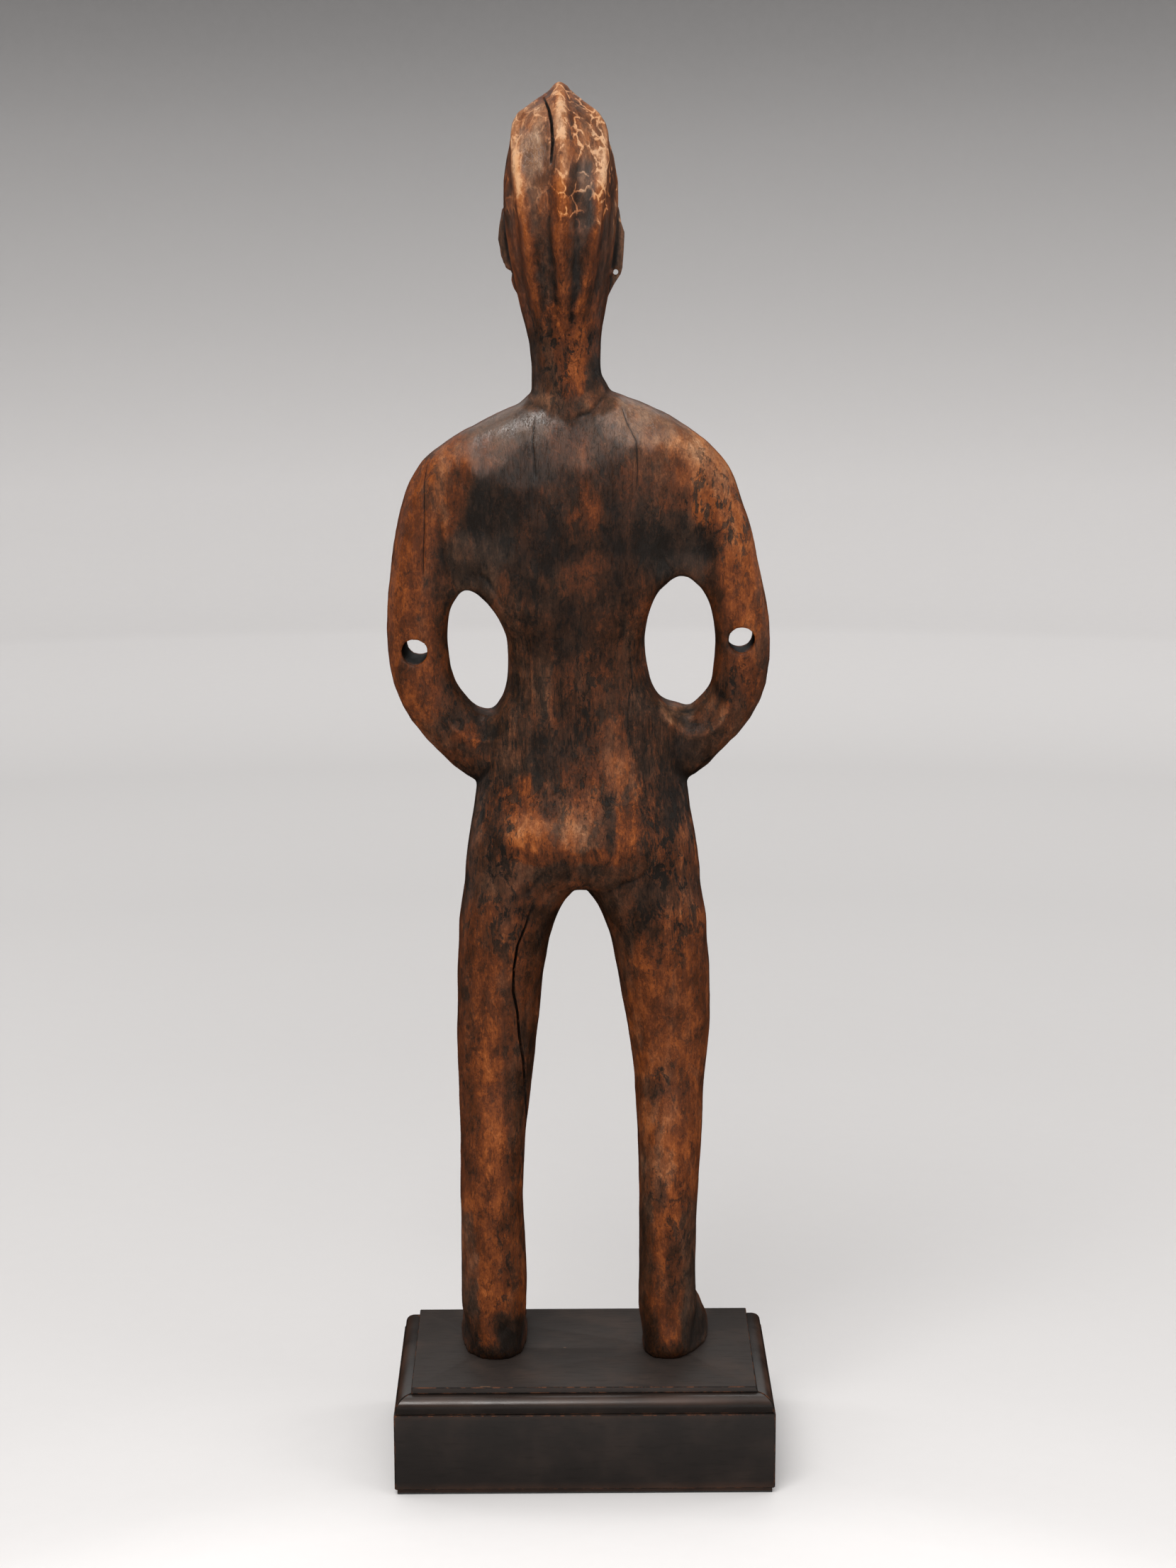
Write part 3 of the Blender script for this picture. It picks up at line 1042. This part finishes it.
# Patina on the front, in the same terms.
FRONT_DABS = [
    (12, 795, 16, 14, 50, 40, 30), (12, 765, 20, 14, 46, 50, 40), (12, 728, 5, 16, 58, 60, 40),
    (12, 712, 7, 5, 66, 60, 40), (-2, 731, 8, 6, 30, 60, 30), (26, 731, 8, 6, 30, 60, 30),
    (-6, 712, 8, 8, 48, 70, 40), (31, 712, 8, 8, 48, 70, 40), (12, 698, 10, 5, 40, 90, 40),
    (12, 682, 12, 6, 56, 60, 40), (10, 648, 14, 16, 24, 70, 30), (48, 600, 30, 8, 42, 50, 40),
    (-46, 600, 30, 8, 46, 50, 40), (39, 557, 20, 12, 48, 70, 30), (-33, 557, 20, 12, 48, 70, 30),
    (3, 560, 8, 26, 24, 60, 30), (100, 540, 8, 40, 46, 70, 20), (-92, 540, 8, 40, 50, 60, 20),
    (104, 460, 10, 30, 42, 80, 20), (-100, 460, 10, 30, 42, 80, 20), (3, 500, 26, 26, 26, 60, 30),
    (3, 450, 24, 20, 32, 60, 30), (5, 420, 10, 8, 46, 60, 30), (40, 395, 16, 12, 50, 75, 30),
    (-38, 395, 16, 12, 50, 75, 30), (2, 360, 30, 20, 30, 60, 30), (60, 340, 14, 24, 26, 50, 30),
    (-58, 340, 14, 24, 28, 50, 30), (52, 270, 16, 36, 34, 70, 30), (-52, 270, 16, 36, 34, 70, 30),
    (56, 200, 10, 14, 56, 70, 30), (-55, 200, 10, 14, 56, 70, 30), (58, 130, 10, 36, 46, 80, 20),
    (-55, 130, 10, 36, 44, 80, 20), (58, 60, 12, 24, 30, 60, 20), (-55, 60, 12, 24, 30, 60, 20),
    (60, 12, 20, 12, 24, 50, 30), (-62, 12, 20, 12, 26, 50, 30),
]
# Where dark patches of the old patina are left: x, z, half width, half height, amount.
SPOTTED = [
    (-76, 563, 20, 26, 0.55), (-97, 535, 9, 30, 0.4), (52, 550, 22, 16, 0.4), (90, 585, 16, 12, 0.2),
    (10, 648, 20, 26, 0.6), (52, 350, 16, 34, 0.75), (-52, 350, 18, 40, 0.75), (4, 372, 34, 12, 0.5),
    (-4, 340, 30, 14, 0.25), (-58, 300, 18, 26, 0.6), (44, 298, 20, 26, 0.45), (8, 428, 46, 40, 0.3),
    (-50, 188, 9, 14, 0.6), (-50, 112, 10, 24, 0.4), (-58, 60, 8, 34, 0.4), (46, 180, 6, 60, 0.3),
    (52, 50, 9, 40, 0.45), (92, 440, 14, 30, 0.2), (-95, 440, 14, 30, 0.25),
]
# Where the grain stands out: x, z, half width, half height, amount.
GRAINY = [
    (41, 435, 13, 60, 0.6), (-36, 430, 13, 60, 0.6), (8, 425, 18, 40, 0.4), (56, 360, 13, 34, 0.6),
    (-52, 360, 14, 40, 0.6), (-60, 295, 12, 30, 0.45), (5, 375, 34, 14, 0.35), (14, 690, 26, 28, 0.4),
    (10, 640, 18, 20, 0.2), (56, 280, 10, 30, 0.2), (-68, 340, 6, 30, 0.4),
]
MIDDLE_TONE = 0.33
TONE_CONTRAST = 0.85
DAB_CRISPNESS = 1.5
DAB_MARGIN = 1.25  # dabs are painted this much larger than their listed size, so that they run together


def painted(points, dabs):
    """Tone, redness and sheen from dabs: near a dab its own values win, and between dabs they blend."""
    total = np.full(len(points), 1e-12)
    values = np.zeros((len(points), 3))
    for x, z, wide, high, *paint in dabs:
        reach = dab_reach(points, x, z, wide * DAB_MARGIN, high * DAB_MARGIN)
        weight = (reach / (wide * high)) ** DAB_CRISPNESS
        total += weight
        values += weight[:, None] * np.array(paint) / 100
    return values / total[:, None]


def worn_edges(points, normals):
    """Light lines where the carving's edges are rubbed: the facets of the hair, ridges, rims and lips."""
    back = facing_back(normals)
    strength, _, edge = hair_facets(points)
    worn = 0.35 * edge * strength * step(points[:, 2], 722, 760)
    patchy = soft_noise(points, (5, 5, 12), 14)
    rubbed = step(patchy, -0.9, 0.3) * step(points[:, 2], 700, 765)
    oiled = step(patchy, -0.4, 0.4) * fade(points[:, 2], 700, 750) * step(points[:, 2], 660, 676)
    for line, width in zip(HAIR_RIDGES, RIDGE_WORN_HALF_WIDTHS):
        on_line = back * step(line_reach(points, line, width, 0), 0, 0.8)
        thin_line = back * step(line_reach(points, line, 2.2, 0), 0, 0.7)
        worn += 0.42 * on_line * rubbed + 0.1 * thin_line * oiled
    for x, z, wide, high, _ in SCOOPS:
        ring = ring_place(points, x, z, wide, high)
        below = step(z - points[:, 2], 0, 8)
        arm_side = step(abs(points[:, 0]), 48, 54) * fade(points[:, 2], 436, 444)
        worn += 0.35 * back * below * arm_side * bump_at(ring, 1.0, 0.03)
    return worn


def dark_lines(points, normals):
    """How dark the cracks, creases, cuts and bores are, from 0 to 1."""
    back = facing_back(normals)
    dark = 1.6 * back * line_reach(points, LEG_CRACK, 0.9, 0.2)
    dark += 1.6 * back * line_reach(points, CREST_CRACK, 1.1, 0.15)
    for line in HAIRLINES:
        dark += 0.8 * back * line_reach(points, line, 0.7)
    for line in CREASES:
        dark += 0.22 * back * line_reach(points, line, 1.6)
    for line, width, depth in FACE_CUTS:
        dark += 0.4 * depth * facing_front(normals) * face_cut_reach(points, line, width)
    above, near_neck = neck_seam(points, back)
    broken = step(soft_noise(points, 9, 16), -0.4, 0.5)
    dark += 0.55 * broken * near_neck * bump_at(above, -1.2, 0.9)
    for at, way in ELBOW_BORES:
        away, along = off_axis(points, at, way)
        inside = np.linalg.norm(away, axis=1) < ELBOW_BORE_RADIUS + 0.7
        dark += inside * fade(np.abs(along), 7, 13) * 0.95
    return np.clip(dark, 0, 1)


def add_colours(mesh, name, values):
    attribute = mesh.attributes.new(name, "FLOAT_COLOR", "POINT")
    attribute.data.foreach_set("color", np.clip(values, 0, 1).astype(np.float32).ravel())


# How the dabs' edges wander: size of the wander, seed, and how far it goes sideways and upwards.
WANDERS = [
    ((7, 7, 11), 20, 1.6, 3.0),
    ((3, 3, 5), 40, 1.3, 2.2),
]


def wandered(points):
    moved = points.copy()
    for size, seed, sideways, upwards in WANDERS:
        moved[:, 0] += sideways * soft_noise(points, size, seed)
        moved[:, 2] += upwards * soft_noise(points, size, seed + 2)
    return moved


def paint_patina(mesh):
    """Stores the patina's tone, redness, sheen and grain, and its marks, for the wood's material."""
    points = to_figure(points_of(mesh))
    normals = normals_of(mesh)
    edges = edges_of(mesh)
    shifted = wandered(points)
    back = facing_back(normals)[:, None]
    paint = painted(shifted, BACK_DABS) * back + painted(shifted, FRONT_DABS) * (1 - back)
    tone, red, sheen = paint.T

    round_form = smoothed(points, edges, 14, 0.6, keep_size=False)
    proud = np.sum((points - round_form) * normals, axis=1)
    proud = smoothed(proud[:, None], edges, 2, keep_size=False)[:, 0]
    tone = MIDDLE_TONE + TONE_CONTRAST * (tone - MIDDLE_TONE) + 0.3 * np.clip(proud, -0.25, 0.45)
    hollow = step(-proud, 0.12, 0.6)

    head = on_head(points)
    grainy = 0.45 + 0.08 * soft_noise(points, 30, 30) + dabbed(points, GRAINY)
    hair = head * step(points[:, 2], 705, 740) * back[:, 0]
    right_plane = 0.5 + 0.5 * fade(points[:, 0], 6, 22)
    grainy = np.clip(np.minimum(grainy, 1) - 0.42 * hair * right_plane, 0, 1)
    spotted = 0.2 + 0.25 * soft_noise(points, (16, 16, 26), 31) - 0.15 * head + dabbed(points, SPOTTED)
    patina = np.stack([tone, red, sheen, grainy], axis=1)
    marks = np.stack([dark_lines(points, normals), worn_edges(points, normals), hollow, spotted], axis=1)
    add_colours(mesh, "patina", patina)
    add_colours(mesh, "marks", marks)


def add_figure():
    piece = carved_shape()
    paint_patina(piece.data)
    piece.data.materials.append(carved_wood())
    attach(piece, "figure")
    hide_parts("carved_figure")


# ---------------------------------------------------------------- the plinth

EDGE_ROUNDING = 0.6 * MM
PIN_ROUNDING = 0.5 * MM
ROUNDED_ANGLE = math.radians(32)  # edges sharper than this are rounded
SMOOTH_ANGLE = math.radians(40)
FLAT_AREA = 5e-4  # faces larger than this, in square metres, are shaded flat
PLINTH_SIDES = ("back", "front", "left", "right")


def rounded_copy(node, ending, materials, rounding=EDGE_ROUNDING, damage=None):
    """A copy of a CAD node with softened edges; the second material goes on the softened strips."""
    name = f"{node}_{ending}"
    piece = new_piece(name, plain_mesh(cad_bmesh(node), name))
    for material in materials:
        piece.data.materials.append(material)
    bevel = piece.modifiers.new("softened edges", "BEVEL")
    bevel.width = rounding
    bevel.segments = 3
    bevel.limit_method = "ANGLE"
    bevel.angle_limit = ROUNDED_ANGLE
    bevel.material = len(materials) - 1
    applied(piece)
    if damage:
        damage(piece.data)
    shade_by_angle(piece.data)
    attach(piece, "base")
    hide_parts(node)


def shade_by_angle(mesh):
    """Large flat faces are shaded flat, and rounded strips smooth."""
    mesh.polygons.foreach_set("use_smooth", [face.area < FLAT_AREA for face in mesh.polygons])
    mesh.set_sharp_from_angle(angle=SMOOTH_ANGLE)


# Scratches in the top board: start and end as (x, y), and width, in millimetres.
TOP_SCRATCHES = [
    ((-39, 60.5), (-45.5, 56.5), 0.45),
    ((-41, 60.0), (-48, 55.2), 0.3),
    ((-106.5, 63), (-109, 59), 0.5),
    ((60, 65.2), (66, 65.0), 0.4),
    ((12, 2), (13.2, 1.6), 0.35),
    ((-101, 65.6), (-109.5, 65.6), 0.5),
]
CHIP = Vector((0.84, -0.672, -0.756)) * MM


def top_scratches():
    """The scratches on the board's top, in metres."""
    board_top = Vector((0, 0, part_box("top_board")[1].z))
    scratches = []
    for start, end, width in TOP_SCRATCHES:
        start, end = (Vector((*place, 0)) * MM + board_top for place in (start, end))
        scratches.append((start, end, width * MM))
    return scratches


def chip_corner(mesh):
    """Knocks off the top of the board's corner nearest the camera on the right."""
    low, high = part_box("top_board")
    corner = Vector((low.x, high.y, high.z))
    for vertex in mesh.vertices:
        if (vertex.co - corner).length < 3 * EDGE_ROUNDING:
            vertex.co += CHIP


def add_plinth():
    """The plinth's visible wood and pins in softened copies, and better finishes on the parts inside."""
    board_low, board_high = (corner.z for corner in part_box("plinth_board_back"))
    moulding_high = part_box("moulding_back")[1].z
    face = ebonised_wood("ebonised_wood", stain=0.95, worn=0.1, shine=0.25, smooth=0.5,
                         brown_at=[(board_low, 6 * MM, 0.28), (board_high, 4 * MM, 0.12)])
    rubbed = ebonised_wood("ebonised_wood_rubbed", stain=0.7, worn=0.85, shine=0.15, smooth=0.55)
    top = ebonised_wood("ebonised_top", stain=1.6, worn=0.2, shine=0.22, smooth=0.42,
                        scratches=top_scratches())
    moulded = ebonised_wood("ebonised_moulding", stain=0.7, worn=0.25, shine=0.75, smooth=0.27,
                            brown_at=[(moulding_high - 2.5 * MM, 3.5 * MM, 0.4)],
                            polished_above=moulding_high - 3.6 * MM)
    rounded_copy("top_board", "shaped", [top, rubbed], damage=chip_corner)
    for side in PLINTH_SIDES:
        rounded_copy(f"moulding_{side}", "shaped", [moulded, rubbed])
    for side in PLINTH_SIDES:
        rounded_copy(f"plinth_board_{side}", "shaped", [face, rubbed])
    steel = metal("steel", (0.42, 0.42, 0.43), (0.62, 0.62, 0.63), 0.25)
    brass = metal("brass", (0.50, 0.34, 0.14), (0.78, 0.57, 0.27), 0.24)
    for side in ("left", "right"):
        rounded_copy(f"mounting_pin_{side}", "turned", [steel], PIN_ROUNDING)
    finishes = {
        "felt_sheet": felt(),
        "bottom_cover": face,
        "core_board": bare_wood(),
        "corner_block": bare_wood(),
        "cover_screw": brass,
        "pin_washer": steel,
        "pin_nut": steel,
    }
    for node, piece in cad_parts.items():
        for start, material in finishes.items():
            if node.startswith(start):
                piece.material_slots[0].material = material


# ---------------------------------------------------------------- the studio

SWEEP_STEPS = 12
STUDIO_SIDES = 96


def add_studio():
    """A seamless pale floor that curves up into a round wall."""
    profile = [(0.6, 0.0), (1.6, 0.0), (FLOOR_RADIUS, 0.0)]
    for i in range(1, SWEEP_STEPS + 1):
        angle = math.radians(90 * i / SWEEP_STEPS)
        profile.append((FLOOR_RADIUS + SWEEP_RADIUS * math.sin(angle), SWEEP_RADIUS * (1 - math.cos(angle))))
    profile.append((FLOOR_RADIUS + SWEEP_RADIUS, WALL_TOP))
    turns = [2 * math.pi * side / STUDIO_SIDES for side in range(STUDIO_SIDES)]
    bm = bmesh.new()
    rings = [
        [bm.verts.new((radius * math.cos(turn), radius * math.sin(turn), height)) for turn in turns]
        for radius, height in profile
    ]
    bm.faces.new(rings[0])
    for lower, upper in zip(rings[:-1], rings[1:]):
        for i in range(STUDIO_SIDES):
            after = (i + 1) % STUDIO_SIDES
            bm.faces.new((lower[i], upper[i], upper[after], lower[after]))
    mesh = plain_mesh(bm, "studio_sweep")
    sweep = new_piece("studio_sweep", mesh)
    sweep.visible_glossy = False
    shade_smooth(mesh)
    mesh.materials.append(studio_paper())


add_camera()
add_lamps()
add_studio()
add_plinth()
add_figure()
